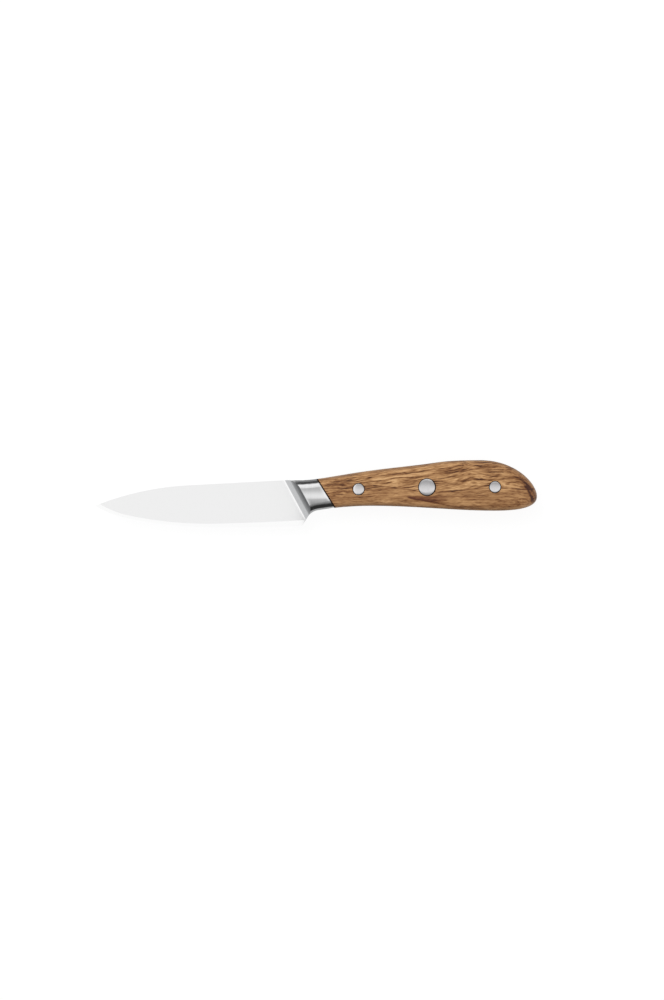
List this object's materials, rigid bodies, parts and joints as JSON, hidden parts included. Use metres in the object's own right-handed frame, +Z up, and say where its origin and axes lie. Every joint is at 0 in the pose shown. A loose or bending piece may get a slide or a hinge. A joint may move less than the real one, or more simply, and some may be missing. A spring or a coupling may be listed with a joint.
{
  "type": "paring knife",
  "caption": "Forged full-tang paring knife with a ramped bolster, a swelling wooden handle and flush round rivets, for peeling and trimming food by hand.",
  "frame": {"origin": "centre of the bottom face of the knife's box, with the knife lying on its right side", "axes": "+X from the tip to the butt, +Y from the cutting edge to the spine, +Z up, out of the left side"},
  "size_m": [0.1896, 0.0288, 0.0156],
  "materials": {
    "blade_steel": "satin blade flats, polished bevel and bolster",
    "scale_wood": "oiled, fine open grain along the handle",
    "resin": "dark brown epoxy, smooth",
    "rivet_steel": "ground flush and finely polished"
  },
  "bodies": {
    "root": {"blade": "blade_steel", "left_scale": "scale_wood", "right_scale": "scale_wood", "left_resin_bed": "resin", "right_resin_bed": "resin", "front_rivet_post": "rivet_steel", "front_rivet_sleeve": "rivet_steel", "front_left_resin_ring": "resin", "front_right_resin_ring": "resin", "middle_rivet_post": "rivet_steel", "middle_rivet_sleeve": "rivet_steel", "middle_left_resin_ring": "resin", "middle_right_resin_ring": "resin", "rear_rivet_post": "rivet_steel", "rear_rivet_sleeve": "rivet_steel", "rear_left_resin_ring": "resin", "rear_right_resin_ring": "resin"}
  },
  "joints": []
}
